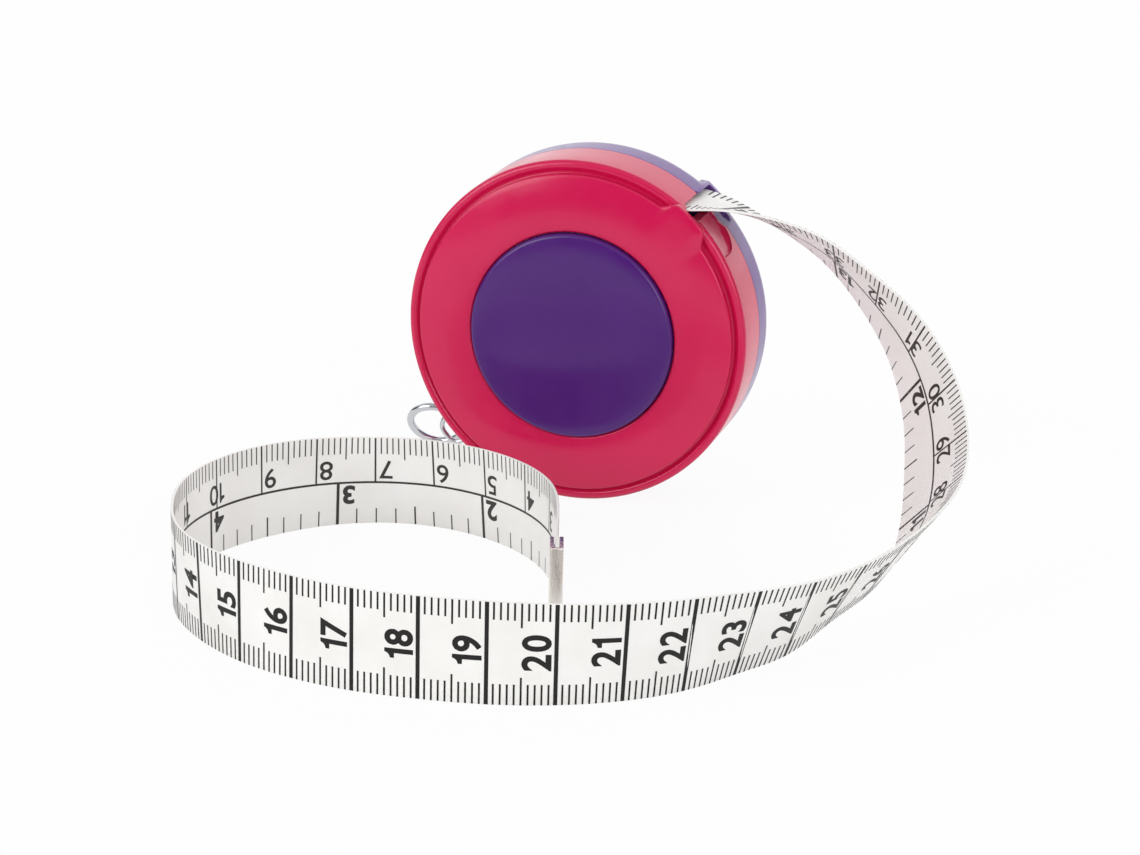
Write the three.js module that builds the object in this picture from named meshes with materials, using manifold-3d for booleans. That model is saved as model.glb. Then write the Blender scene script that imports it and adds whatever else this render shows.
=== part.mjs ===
// A round retractable cloth tape measure: the case stands on its rim, and a loop of tape lies in front.
// Millimetres. x runs right, y from the button side to the back, z up from the table. In the case group
// z counts from the reel's axis, and profiles turned round that axis are lists of [radius, y].
import * as THREE from "three";
import { mergeVertices } from "three/addons/utils/BufferGeometryUtils.js";
import Module from "manifold-3d";

const fit = 0.3; // clearance between pieces that run or seat on each other
const overrun = 1; // how far a cut reaches past the face it opens
const weldDistance = 1e-4;

// Tape and its coil
const tapeWidth = 16;
const tapeThick = 0.4;
const tapeMid = -0.3;
const coilSpace = 5.9; // room between the full coil and the case's wall
const leadStart = -1;
const leadEnd = 17.5;

// Case: two shells that meet at a seam
const caseRadius = 29.6;
const caseSides = 80;
const rimWall = 1.5;
const faceWall = 1.95;
const backWall = 1.4;
const edgeGap = 0.35;
const seamY = 1;
const seamGap = 0.2;
const rimBand = 2.1; // from the disc's edge out to the case's side
const discRound = 0.8;
const faceFall = 0.85;
const holeGap = 0.35;
const holeRound = 0.35;
const grooveSink = 0.65;
const grooveWidth = 0.5;
const rimCrest = 0.6;
const rimRound = 0.7;
const rimSet = 0.05;
const innerSlope = 2.9;
const cornerRadius = 5.1;
const lipHeight = 1.7;
const lipThick = 0.9;
const lipRoot = 1.5;
const screwPad = 8;
const screwPadDepth = 0.6;

// Mouth, its tab, finger scoop and hood. Outlines are [share of the case radius, degrees]
const mouthStart = 8;
const mouthAbove = 0.9;
const mouthBelow = 1.8;
const mouthEndGap = 0.4;
const tabSet = 0.05;
const tabBevel = 0.25;
const scoopRadius = 4.6;
const scoopDepth = 0.8;
const scoopAngle = 42.6;
const scoopFront = 0.5;
const scoopLength = 12;
const hoodBack = 1.2;
const tabShares = [
  [0.999, 41.2], [0.999, 44], [0.999, 47], [0.999, 50], [0.999, 51.9], [0.983, 53.8], [0.95, 55.4],
  [0.916, 57.5], [0.899, 60.8], [0.889, 66], [0.85, 66], [0.85, 36.7], [0.909, 36.7], [0.926, 38.6],
  [0.956, 39.9], [0.985, 40.7],
];
const hoodShares = [
  [0.895, 45], [0.985, 44.4], [1.012, 44.6], [1.024, 45.4], [1.03, 53.2], [1.024, 54.1],
  [0.995, 55.6], [0.895, 55.8],
];

// Push button, with three legs that carry the brake
const buttonRadius = 17.6;
const buttonSides = 60;
const buttonEdge = 0.95;
const buttonRise = 0.55;
const buttonRound = 0.6;
const buttonThick = 1;
const buttonSkirt = 1.15;
const buttonDrop = 0.5;
const buttonTravel = 1.4;
const legInner = 6.6;
const legThick = 1.2;
const legWidth = 3;
const legCount = 3;
const hookReach = 1.1;
const hookHeight = 0.6;
const bossThick = 1;
const bossHeight = 2.2;

// Friction brake inside the reel's front lip
const brakeRingWidth = 2.4;
const brakeRingThick = 0.8;
const brakeRingSet = 0.1;
const feltThick = 0.55;
const glueGap = 0.05;
const plateThick = 0.8;

// Axle and what sits on it
const axleRadius = 2;
const axleChamfer = 0.3;
const axleEndGap = 0.4;
const arborRadius = 3.2;
const clipThick = 0.5;
const clipGroove = 0.5;
const clipRadius = 3.3;
const clipOpening = 70;
const guideThick = 1.2;
const sleeveRadius = 3.4;
const washerRadius = 4.2;
const washerThick = 0.3;
const screwRadius = 1;
const screwHead = 2.8;
const screwHeadHeight = 0.45;
const screwLength = 5.6;
const screwSlot = 0.5;

// Reel
const drumWall = 1.4;
const reelSides = 40;
const flangeSpace = 4.7; // room between the flange and the case's wall
const flangeThick = 0.7;
const webThick = 1;
const coverThick = 0.7;
const anchorRadius = 0.4;
const anchorAngle = 250;
const pinRadius = 0.8;
const pinSpace = 0.6; // from the flange's edge to the pin
const pinSides = 12;
const shaftSides = 24;
const coilSides = 60;

// Springs
const mainspringThick = 0.35;
const mainspringTurns = 7;
const mainspringSteps = 18;
const coilSpringRadius = 4.2;
const coilSpringWire = 0.6;
const coilSpringTurns = 5;
const coilSpringSteps = 12;
const coilSpringSides = 5;

// Key ring and the wire staple that holds it at the seam
const stapleWire = 0.9;
const stapleSpan = 5;
const stapleBend = 2;
const stapleReach = 5.6;
const stapleAngle = 223;
const stapleY = 0.4;
const stapleRootShare = 0.82;
const stapleBendShares = [[1, 0], [0.3, 0.3], [0, 1]];
const ringRadius = 4.7;
const ringWire = 1.35;
const ringPivot = 1.8;
const ringDirection = 189;
const ringTurn = 34;

// Folded metal end of the tape
const clipLength = 5.5;
const clipWall = 0.65;
const clipGap = 0.2;
const clipRound = 0.5;

// The free tape's way from the mouth to its metal end: [x, y, z, leanX, leanY, leanZ], where the lean
// points from the edge that is near or up to the one that is far or down
const route = [
  [21.5, -0.5, 52, 0, 1, -0.1], [31.5, -2, 50, -0.05, 0.95, -0.35], [41.5, -4, 46.5, -0.15, 0.85, -0.5],
  [50, -7, 40.5, -0.25, 0.75, -0.6], [57, -11, 34.5, -0.4, 0.6, -0.7], [62, -16, 27.5, -0.55, 0.45, -0.7],
  [65, -23.5, 21, -0.65, 0.35, -0.65], [66.5, -32.5, 16, -0.65, 0.4, -0.65],
  [66, -42, 13, -0.5, 0.5, -0.7], [63.5, -51, 11, -0.4, 0.55, -0.75], [59.5, -60, 9.5, -0.4, 0.5, -0.8],
  [54.5, -69, 8, -0.3, 0.35, -0.9], [48.5, -77, 8, -0.25, 0.25, -0.95], [42, -84.5, 8, -0.15, 0.15, -1],
  [34.5, -90.5, 8, -0.1, 0.1, -1], [25.5, -95, 8, -0.05, 0.05, -1], [15.5, -98, 8, -0.05, 0, -1],
  [5.5, -99.5, 8, -0.05, 0, -1], [-5, -100, 8, -0.05, 0, -1], [-15, -98.5, 8, -0.05, 0, -1],
  [-24, -95.5, 8, 0, 0, -1], [-32.5, -90.5, 8, 0, 0.05, -1], [-39.5, -83.5, 8, 0, 0.05, -1],
  [-44, -75, 8, 0, 0, -1], [-46.5, -65.5, 8, 0, 0, -1], [-46, -56, 8, 0, 0, -1],
  [-42.5, -47, 8, 0, 0, -1], [-36, -39, 8, 0, 0.1, -1], [-27, -33.5, 8, -0.05, 0.15, -1],
  [-17, -31.5, 8, -0.05, 0.15, -1], [-7, -33.5, 8, 0, 0.1, -1], [1.5, -38.5, 8, 0, 0.05, -1],
  [8, -46, 8, 0, 0, -1], [12, -55, 8, 0, 0, -1], [15, -65, 8, 0, 0, -1], [18, -74.5, 8, 0, 0, -1],
];
const routeSteps = 80;

// Heights and depths that follow from the sizes above
const axisHeight = caseRadius * Math.cos(Math.PI / caseSides);
const nearEdge = tapeMid - tapeWidth / 2;
const farEdge = tapeMid + tapeWidth / 2;
const faceInner = nearEdge - edgeGap;
const faceFront = faceInner - faceWall;
const discEdge = faceFront + faceFall;
const grooveFloor = faceInner + grooveSink;
const rimFront = faceInner + rimSet;
const flangeFront = farEdge + fit;
const flangeBack = flangeFront + flangeThick;
const backInner = flangeBack + fit;
const backFace = backInner + backWall;
const innerRadius = caseRadius - rimWall;
const discRadius = caseRadius - rimBand;
const coilRadius = innerRadius - coilSpace;
const flangeRadius = innerRadius - flangeSpace;
const legOuter = legInner + legThick;
const guideRadius = legOuter + 4 * fit;
const brakeRingInner = legOuter + hookReach + 2 * fit;
const drumBore = brakeRingInner + brakeRingWidth + fit;
const drumRadius = drumBore + drumWall;
const tapeHeight = coilRadius + fit + tapeThick / 2;
const mouthTop = tapeHeight + mouthAbove;
const mouthFloor = tapeHeight - mouthBelow;
const mouthEnd = farEdge + mouthEndGap;
const drumFront = nearEdge + fit;
const ringLipFront = drumFront - brakeRingSet;
const feltFront = ringLipFront + brakeRingThick + fit;
const plateFront = feltFront + feltThick + glueGap;
const plateBack = plateFront + plateThick;
const guideFront = plateBack + buttonTravel + fit;
const guideBack = guideFront + guideThick;
const buttonFront = faceFront - buttonEdge;
const buttonUnder = buttonFront + buttonThick;
const axleFront = buttonUnder + buttonTravel + axleEndGap;
const axleBack = flangeBack;
const webFront = -webThick / 2;
const webBack = webThick / 2;
const coverBack = flangeBack - fit;
const coverFront = coverBack - coverThick;
const springFront = webBack + fit;
const springBack = coverFront - fit;
const lugPlace = caseRadius + ringPivot;

const plastic = (color) => new THREE.MeshStandardMaterial({ color, roughness: 0.25, metalness: 0 });
const metal = (color) => new THREE.MeshStandardMaterial({ color, roughness: 0.3, metalness: 1 });
const pinkPlastic = plastic("#cc2550");
const purplePlastic = plastic("#55308c");
const buttonPlastic = plastic("#562a82");
const innerPlastic = plastic("#d8d6d2");
const chrome = metal("#d9dadc");
const springSteel = metal("#7c8088");
const tapeCloth = new THREE.MeshStandardMaterial({ color: "#f2f1ef", roughness: 0.6, metalness: 0 });
const felt = new THREE.MeshStandardMaterial({ color: "#4a4a4c", roughness: 1, metalness: 0 });

const wasm = await Module();
wasm.setup();

function manifoldOf(vertProperties, triangles) {
  const triVerts = new Uint32Array(triangles);
  return new wasm.Manifold(new wasm.Mesh({ numProp: 3, vertProperties, triVerts }));
}

// The closed surface of a geometry as a solid with its faces turned out.
function solidOf(geometry) {
  const bare = new THREE.BufferGeometry();
  bare.setAttribute("position", geometry.getAttribute("position"));
  if (geometry.index) bare.setIndex(geometry.index);
  const merged = mergeVertices(bare, weldDistance);
  const index = merged.index.array;
  const triangles = [];
  for (let i = 0; i < index.length; i += 3) {
    const [a, b, c] = index.slice(i, i + 3);
    if (a !== b && b !== c && c !== a) triangles.push([a, b, c]);
  }
  const vertices = merged.getAttribute("position").array;
  const solid = manifoldOf(vertices, triangles.flat());
  if (solid.volume() > 0) return solid;
  return manifoldOf(vertices, triangles.map(([a, b, c]) => [a, c, b]).flat());
}

function meshOf(name, solid, material) {
  const { numProp, vertProperties, triVerts } = solid.getMesh();
  const geometry = new THREE.BufferGeometry();
  geometry.setAttribute("position", new THREE.BufferAttribute(vertProperties, numProp));
  geometry.setIndex(new THREE.BufferAttribute(triVerts, 1));
  geometry.computeVertexNormals();
  const mesh = new THREE.Mesh(geometry, material);
  mesh.name = name;
  return mesh;
}

// A profile of [radius, y] turned round the y axis, with a flat facet straight below the axis.
function revolve(profile, sides) {
  const points = profile.map(([r, y]) => new THREE.Vector2(r, y));
  return solidOf(new THREE.LatheGeometry(points, sides, Math.PI / sides));
}

function ringOf(inner, outer, from, to, sides) {
  return revolve([[inner, from], [outer, from], [outer, to], [inner, to], [inner, from]], sides);
}

// An outline of [x, z] drawn along y between two places, with its edges eased by the bevel.
function prism(outline, from, to, bevel = 0) {
  const shape = new THREE.Shape(outline.map(([x, z]) => new THREE.Vector2(x, z)));
  const geometry = new THREE.ExtrudeGeometry(shape, {
    depth: to - from - 2 * bevel, bevelEnabled: bevel > 0, bevelThickness: bevel,
    bevelSize: bevel, bevelOffset: -bevel, bevelSegments: 2,
  });
  return solidOf(geometry.rotateX(Math.PI / 2).translate(0, to - bevel, 0));
}

function polar(radius, degrees) {
  const angle = THREE.MathUtils.degToRad(degrees);
  return [radius * Math.cos(angle), radius * Math.sin(angle)];
}

function circle(x, z, radius, sides) {
  return Array.from({ length: sides }, (_, i) => {
    const [dx, dz] = polar(radius, (360 * i) / sides);
    return [x + dx, z + dz];
  });
}

// A rectangle of [x, z] that lies along a direction from the axis.
function spoke(inner, outer, width, degrees) {
  const [ux, uz] = polar(1, degrees);
  return [[inner, -width / 2], [outer, -width / 2], [outer, width / 2], [inner, width / 2]]
    .map(([u, v]) => [u * ux - v * uz, u * uz + v * ux]);
}

function wire(path, radius, sides, steps) {
  const shape = new THREE.Shape(circle(0, 0, radius, sides).map(([x, y]) => new THREE.Vector2(x, y)));
  const options = { steps, extrudePath: path, bevelEnabled: false };
  return solidOf(new THREE.ExtrudeGeometry(shape, options));
}

// A flat strip lofted through frames of middle, across and out, each a vector.
function strip(frames, width, thick) {
  const corners = [[-1, -1], [1, -1], [1, 1], [-1, 1]];
  const positions = frames.flatMap(({ middle, across, out }) =>
    corners.flatMap(([a, b]) => middle.clone()
      .addScaledVector(across, (a * width) / 2).addScaledVector(out, (b * thick) / 2).toArray()));
  const index = [0, 1, 2, 0, 2, 3];
  const last = 4 * (frames.length - 1);
  for (let i = 0; i < last; i += 4)
    for (let j = 0; j < 4; j++) {
      const k = (j + 1) % 4;
      index.push(i + j, i + 4 + j, i + 4 + k, i + j, i + 4 + k, i + k);
    }
  index.push(last, last + 2, last + 1, last, last + 3, last + 2);
  const geometry = new THREE.BufferGeometry();
  geometry.setAttribute("position", new THREE.Float32BufferAttribute(positions, 3));
  return solidOf(geometry.setIndex(index));
}

const mouthCut = () => prism(
  [[mouthStart, mouthFloor], [caseRadius + rimWall, mouthFloor], [caseRadius + rimWall, mouthTop],
    [mouthStart, mouthTop]], faceInner, mouthEnd);

function scoopCut() {
  const [x, z] = polar(caseRadius - scoopDepth + scoopRadius, scoopAngle);
  const front = nearEdge + scoopFront;
  return prism(circle(x, z, scoopRadius, reelSides), front, front + scoopLength);
}

const fromShares = (shares) => shares.map(([share, degrees]) => polar(share * caseRadius, degrees));

// The crowned disc, the groove round it and the rounded rim, with the wall behind them.
function frontShell() {
  const hole = buttonRadius + holeGap;
  const crownStart = hole + holeRound;
  const crownEnd = discRadius - discRound;
  const crown = [0, 0.25, 0.5, 0.75, 1].map((share) =>
    [crownStart + share * (crownEnd - crownStart), faceFront + share * share * faceFall]);
  const crestRadius = caseRadius - rimCrest;
  const profile = [
    [hole, faceInner], [hole, faceFront + holeRound], ...crown,
    [discRadius - discRound * 0.3, discEdge + discRound * 0.25],
    [discRadius, discEdge + discRound * 0.7],
    [discRadius + grooveWidth * 0.2, grooveFloor - grooveWidth * 0.3],
    [discRadius + grooveWidth * 0.6, grooveFloor], [discRadius + grooveWidth, grooveFloor],
    [crestRadius - rimRound * 0.6, rimFront + rimRound * 0.12], [crestRadius, rimFront],
    [caseRadius - rimRound * 0.25, rimFront + rimRound * 0.3], [caseRadius, rimFront + rimRound],
    [caseRadius, seamY - seamGap / 2], [innerRadius, seamY - seamGap / 2],
    [innerRadius, faceInner + innerSlope], [innerRadius - innerSlope, faceInner], [hole, faceInner],
  ];
  const tab = prism(fromShares(tabShares), discEdge + tabSet, grooveFloor + rimSet, tabBevel);
  const shell = revolve(profile, caseSides).add(tab).subtract(mouthCut()).subtract(scoopCut());
  return meshOf("front_shell", shell.subtract(staplePath(stapleWire / 2 + fit / 2)), pinkPlastic);
}

// The back half with its round corner, the lip that fits inside the front half, and the hood.
function rearShell() {
  const arc = (radius, depth, y, steps) => Array.from({ length: steps + 1 }, (_, i) => {
    const turn = (i * Math.PI) / (2 * steps);
    return [caseRadius - cornerRadius + radius * Math.cos(turn), y + depth * Math.sin(turn)];
  });
  const arcStart = backFace - cornerRadius;
  const seam = seamY + seamGap / 2;
  const lipOuter = innerRadius - fit;
  const lipInner = lipOuter - lipThick;
  const bore = screwRadius + fit;
  const profile = [
    [caseRadius, seam], ...arc(cornerRadius, cornerRadius, arcStart, 5), [screwPad, backFace],
    [screwPad - screwPadDepth, backFace - screwPadDepth], [bore, backFace - screwPadDepth],
    [bore, backInner], ...arc(cornerRadius - rimWall, backInner - arcStart, arcStart, 3).reverse(),
    [innerRadius, (seam + lipRoot + arcStart) / 2], [lipInner, seam + lipRoot],
    [lipInner, seam - lipHeight], [lipOuter, seam - lipHeight], [lipOuter, seam], [caseRadius, seam],
  ];
  const hood = prism(fromShares(hoodShares), seam, backFace - hoodBack, tabBevel);
  const shell = revolve(profile, caseSides).add(hood).subtract(mouthCut()).subtract(scoopCut());
  return meshOf("rear_shell", shell, purplePlastic);
}

// The staple's U in the seam plane: two legs into the wall and a crown outside it.
function staplePath(radius) {
  const [ux, uz] = polar(1, stapleAngle);
  const at = (u, v) => new THREE.Vector3(u * ux - v * uz, stapleY, u * uz + v * ux);
  const crown = caseRadius + stapleReach;
  const half = stapleSpan / 2;
  const bends = stapleBendShares.map(([back, side]) => [crown - back * stapleBend, side * stapleBend]);
  const rise = bends.map(([u, v]) => at(u, v - half));
  const fall = bends.map(([u, v]) => at(u, half - v)).reverse();
  const root = caseRadius - rimWall * stapleRootShare;
  const path = new THREE.CatmullRomCurve3([at(root, -half), at(caseRadius, -half), ...rise,
    ...fall, at(caseRadius, half), at(root, half)]);
  return wire(path, radius, 8, 24);
}

const ringStaple = () => meshOf("ring_staple", staplePath(stapleWire / 2), chrome);

// The round ring: its wire passes through the staple's eye, and the ring leans out from it.
function keyRing() {
  const [px, pz] = polar(1, ringDirection);
  const turn = THREE.MathUtils.degToRad(ringTurn);
  const outward = new THREE.Vector3(px, 0, pz);
  const down = new THREE.Vector3(-pz, 0, px).multiplyScalar(Math.cos(turn));
  down.y = Math.sin(turn);
  const [x, z] = polar(lugPlace, stapleAngle);
  const ring = solidOf(new THREE.TorusGeometry(ringRadius, ringWire / 2, 8, 32));
  const mesh = meshOf("key_ring", ring, chrome);
  const basis = new THREE.Matrix4().makeBasis(outward, down, outward.clone().cross(down));
  mesh.quaternion.setFromRotationMatrix(basis);
  mesh.position.set(x, stapleY, z).addScaledVector(outward, ringRadius);
  return mesh;
}

function pushButton() {
  const dome = [0, 0.3, 0.55, 0.8, 1].map((share) =>
    [share * (buttonRadius - buttonRound), buttonFront - buttonRise * (1 - share * share)]);
  const skirtEnd = buttonUnder + buttonDrop;
  const bossInner = axleRadius + fit;
  const bossOuter = bossInner + bossThick;
  const cap = revolve([
    ...dome, [buttonRadius - buttonRound * 0.3, buttonFront + buttonRound * 0.3],
    [buttonRadius, buttonFront + buttonRound], [buttonRadius, skirtEnd],
    [buttonRadius - buttonSkirt, skirtEnd], [buttonRadius - buttonSkirt, buttonUnder],
    [bossOuter, buttonUnder], [bossOuter, buttonUnder + bossHeight],
    [bossInner, buttonUnder + bossHeight], [bossInner, buttonUnder], [0, buttonUnder],
  ], buttonSides);
  const legEnd = webFront - fit - buttonTravel;
  const hookFront = plateBack + fit;
  return meshOf("push_button", legAngles().reduce((button, degrees) => button
    .add(prism(spoke(legInner, legOuter, legWidth, degrees), buttonUnder - buttonThick / 2, legEnd))
    .add(prism(spoke(legInner, legOuter + hookReach, legWidth, degrees),
      hookFront, hookFront + hookHeight)), cap), buttonPlastic);
}

const legAngles = () => Array.from({ length: legCount }, (_, i) => 90 + (360 * i) / legCount);

const plateInner = legOuter + fit;
const plateOuter = drumBore - 1.5 * fit;

const brakePlate = () => meshOf("brake_plate",
  ringOf(plateInner, plateOuter, plateFront, plateBack, reelSides), springSteel);

const brakeFelt = () => meshOf("brake_felt",
  ringOf(brakeRingInner + fit, plateOuter, feltFront, feltFront + feltThick, reelSides), felt);

const reelBrakeRing = () => meshOf("reel_brake_ring",
  ringOf(brakeRingInner, drumBore - fit, ringLipFront, ringLipFront + brakeRingThick, reelSides),
  innerPlastic);

// A disc on the axle whose open notches guide the button's legs.
function buttonGuide() {
  const disc = ringOf(axleRadius + fit, guideRadius, guideFront, guideBack, reelSides);
  const notch = (degrees) => prism(
    spoke(legInner - fit, guideRadius + overrun, legWidth + 2 * fit, degrees),
    guideFront - overrun, guideBack + overrun);
  return meshOf("button_guide", legAngles().reduce((g, a) => g.subtract(notch(a)), disc), innerPlastic);
}

class Helix extends THREE.Curve {
  getPoint(t, target = new THREE.Vector3()) {
    const from = buttonUnder + fit + coilSpringWire / 2;
    const to = guideFront - fit - coilSpringWire / 2;
    const [x, z] = polar(coilSpringRadius, 360 * coilSpringTurns * t);
    return target.set(x, from + (to - from) * t, z);
  }
}

const buttonSpring = () => meshOf("button_spring", wire(
  new Helix(), coilSpringWire / 2, coilSpringSides, coilSpringTurns * coilSpringSteps), springSteel);

const clipGrooveEnd = guideFront - fit / 2;
const clipGrooveStart = clipGrooveEnd - clipThick - fit;

// The steel post: a groove for its clip, the arbor that the mainspring hooks on, a screw hole behind.
function axle() {
  const bore = screwRadius + fit;
  const neck = axleRadius - clipGroove;
  return meshOf("axle", revolve([
    [0, axleFront], [axleRadius - axleChamfer, axleFront], [axleRadius, axleFront + axleChamfer],
    [axleRadius, clipGrooveStart], [neck, clipGrooveStart], [neck, clipGrooveEnd],
    [axleRadius, clipGrooveEnd], [axleRadius, springFront], [arborRadius, springFront],
    [arborRadius, springBack], [axleRadius, springBack], [axleRadius, axleBack], [bore, axleBack],
    [bore, axleBack - screwLength + fit], [0, axleBack - screwLength + fit],
  ], shaftSides), springSteel);
}

function axleClip() {
  const from = clipGrooveStart + fit / 2;
  const ring = ringOf(axleRadius - clipGroove + fit / 2, clipRadius, from, from + clipThick, shaftSides);
  const half = clipRadius * Math.tan(THREE.MathUtils.degToRad(clipOpening / 2));
  const wedge = [[0, 0], [clipRadius + overrun, -half - overrun], [clipRadius + overrun, half + overrun]];
  return meshOf("axle_clip", ring.subtract(prism(wedge, from - overrun, from + clipThick + overrun)),
    springSteel);
}

const frontWasher = () => meshOf("front_washer",
  ringOf(axleRadius + fit, sleeveRadius, guideBack + fit, webFront - fit, shaftSides), springSteel);

function rearWasher() {
  const from = coverBack + (backInner - coverBack - washerThick) / 2;
  return meshOf("rear_washer",
    ringOf(axleRadius + fit, washerRadius, from, from + washerThick, shaftSides), springSteel);
}

function axleScrew() {
  const seat = backFace - screwPadDepth + fit / 2;
  const top = seat + screwHeadHeight;
  const body = revolve([
    [0, axleBack - screwLength + 2 * fit], [screwRadius, axleBack - screwLength + 2 * fit],
    [screwRadius, seat], [screwHead, seat], [screwHead, top - screwSlot / 2],
    [screwHead - screwSlot, top], [0, top],
  ], shaftSides);
  const slot = spoke(-screwHead * 0.6, screwHead * 0.6, screwSlot, 0);
  const crossed = spoke(-screwHead * 0.6, screwHead * 0.6, screwSlot, 90);
  return meshOf("axle_screw", body.subtract(prism(slot, top - screwSlot / 2, top + overrun))
    .subtract(prism(crossed, top - screwSlot / 2, top + overrun)), chrome);
}

const anchorPlace = () => polar(drumRadius - anchorRadius, anchorAngle);

// Hub, web, drum and back flange, with a groove in the drum for the pin that holds the tape's end.
function reelDrum() {
  const body = revolve([
    [axleRadius + fit, webFront], [drumBore, webFront], [drumBore, drumFront], [drumRadius, drumFront],
    [drumRadius, flangeFront], [flangeRadius, flangeFront], [flangeRadius, flangeBack],
    [drumBore, flangeBack], [drumBore, webBack], [axleRadius + fit, webBack],
    [axleRadius + fit, webFront],
  ], reelSides);
  const groove = circle(...anchorPlace(), anchorRadius + fit * 0.75, pinSides);
  return meshOf("reel_drum", body.subtract(prism(groove, drumFront - overrun, flangeFront)), innerPlastic);
}

const anchorPin = () => meshOf("tape_anchor_pin", prism(
  circle(...anchorPlace(), anchorRadius, pinSides), drumFront, flangeFront - fit), springSteel);

const springCover = () => meshOf("spring_cover",
  ringOf(axleRadius + fit, drumBore - fit, coverFront, coverBack, reelSides), innerPlastic);

const woundTape = () => meshOf("wound_tape",
  ringOf(drumRadius + fit, coilRadius, nearEdge, farEdge, coilSides), tapeCloth);

// A flat spiral from the arbor out to the drum's bore.
function mainspring() {
  const inner = arborRadius + fit + mainspringThick / 2;
  const outer = drumBore - fit - mainspringThick / 2;
  const steps = mainspringTurns * mainspringSteps;
  const across = new THREE.Vector3(0, 1, 0);
  const middleY = (springFront + springBack) / 2;
  const frames = Array.from({ length: steps + 1 }, (_, i) => {
    const [ux, uz] = polar(1, (360 * mainspringTurns * i) / steps);
    const out = new THREE.Vector3(ux, 0, uz);
    const middle = out.clone().multiplyScalar(inner + ((outer - inner) * i) / steps);
    middle.y = middleY;
    return { middle, across, out };
  });
  return meshOf("mainspring", strip(frames, springBack - springFront - fit, mainspringThick), springSteel);
}

// The last straight length inside the case, from the top of the coil to the mouth.
function tapeLead() {
  const across = new THREE.Vector3(0, 1, 0);
  const out = new THREE.Vector3(0, 0, 1);
  const frames = [leadStart, leadEnd].map((x) =>
    ({ middle: new THREE.Vector3(x, tapeMid, tapeHeight), across, out }));
  return meshOf("tape_lead", strip(frames, tapeWidth, tapeThick), tapeCloth);
}

function mouthPin() {
  const z = tapeHeight - tapeThick / 2 - fit - pinRadius;
  const x = Math.sqrt((flangeRadius + pinSpace + pinRadius) ** 2 - z ** 2);
  return meshOf("mouth_pin",
    prism(circle(x, z, pinRadius, pinSides), faceInner + fit, backInner - fit), chrome);
}

function tapeRoute() {
  const start = [leadEnd + fit, tapeMid, axisHeight + tapeHeight, 0, 1, 0];
  const all = [start, ...route];
  const middles = all.map(([x, y, z]) => new THREE.Vector3(x, y, z));
  const leans = all.map(([, , , x, y, z]) => new THREE.Vector3(x, y, z).normalize());
  const path = new THREE.CatmullRomCurve3(middles);
  path.arcLengthDivisions = 20 * all.length;
  return { path, lean: new THREE.CatmullRomCurve3(leans) };
}

// The tape outside the case: it leaves the mouth flat, turns on edge and stands in a loop on the table.
function freeTape() {
  const { path, lean } = tapeRoute();
  const length = path.getLength();
  const shareKept = (length - clipWall - fit) / length;
  const frames = Array.from({ length: routeSteps + 1 }, (_, i) => {
    const share = (shareKept * i) / routeSteps;
    const middle = path.getPointAt(share);
    const along = i ? path.getTangentAt(share) : new THREE.Vector3(1, 0, 0);
    const across = lean.getPoint(path.getUtoTmapping(share));
    across.addScaledVector(along, -across.dot(along)).normalize();
    middle.z = Math.max(middle.z, (Math.abs(across.z) * tapeWidth) / 2);
    return { middle, across, out: along.clone().cross(across) };
  });
  return meshOf("free_tape", strip(frames, tapeWidth, tapeThick), tapeCloth);
}

// Sheet metal folded over the end of the tape, closed at the tip.
function endClip() {
  const { path } = tapeRoute();
  const end = path.getPointAt(1);
  const along = path.getTangentAt(1);
  const inner = tapeThick / 2 + clipGap;
  const outer = inner + clipWall;
  const shape = new THREE.Shape([
    [-clipLength, -outer], [-clipRound, -outer], [-clipRound * 0.3, -outer + clipRound * 0.3],
    [0, -outer + clipRound], [0, outer - clipRound], [-clipRound * 0.3, outer - clipRound * 0.3],
    [-clipRound, outer], [-clipLength, outer], [-clipLength, inner], [-clipWall, inner],
    [-clipWall, -inner], [-clipLength, -inner],
  ].map(([x, y]) => new THREE.Vector2(x, y)));
  const body = solidOf(new THREE.ExtrudeGeometry(shape, { depth: tapeWidth, bevelEnabled: false }));
  const mesh = meshOf("tape_end_clip", body, chrome);
  mesh.position.set(end.x, end.y, 0);
  mesh.rotation.z = Math.atan2(along.y, along.x);
  return mesh;
}

const caseGroup = new THREE.Group();
caseGroup.position.z = axisHeight;
caseGroup.add(frontShell(), rearShell(), ringStaple(), keyRing(), axle(), axleClip(), axleScrew(),
  frontWasher(), rearWasher(), buttonGuide(), mouthPin(), tapeLead());

const reelGroup = new THREE.Group();
reelGroup.add(reelDrum(), reelBrakeRing(), springCover(), anchorPin(), woundTape(), mainspring());

const buttonGroup = new THREE.Group();
buttonGroup.add(pushButton(), brakePlate(), brakeFelt(), buttonSpring());
caseGroup.add(reelGroup, buttonGroup);

const tapeMeasure = new THREE.Group();
tapeMeasure.name = "cloth_tape_measure";
tapeMeasure.add(caseGroup, freeTape(), endClip());

export default tapeMeasure;
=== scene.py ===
import bpy
import math
import numpy
from mathutils import Matrix, Vector


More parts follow.
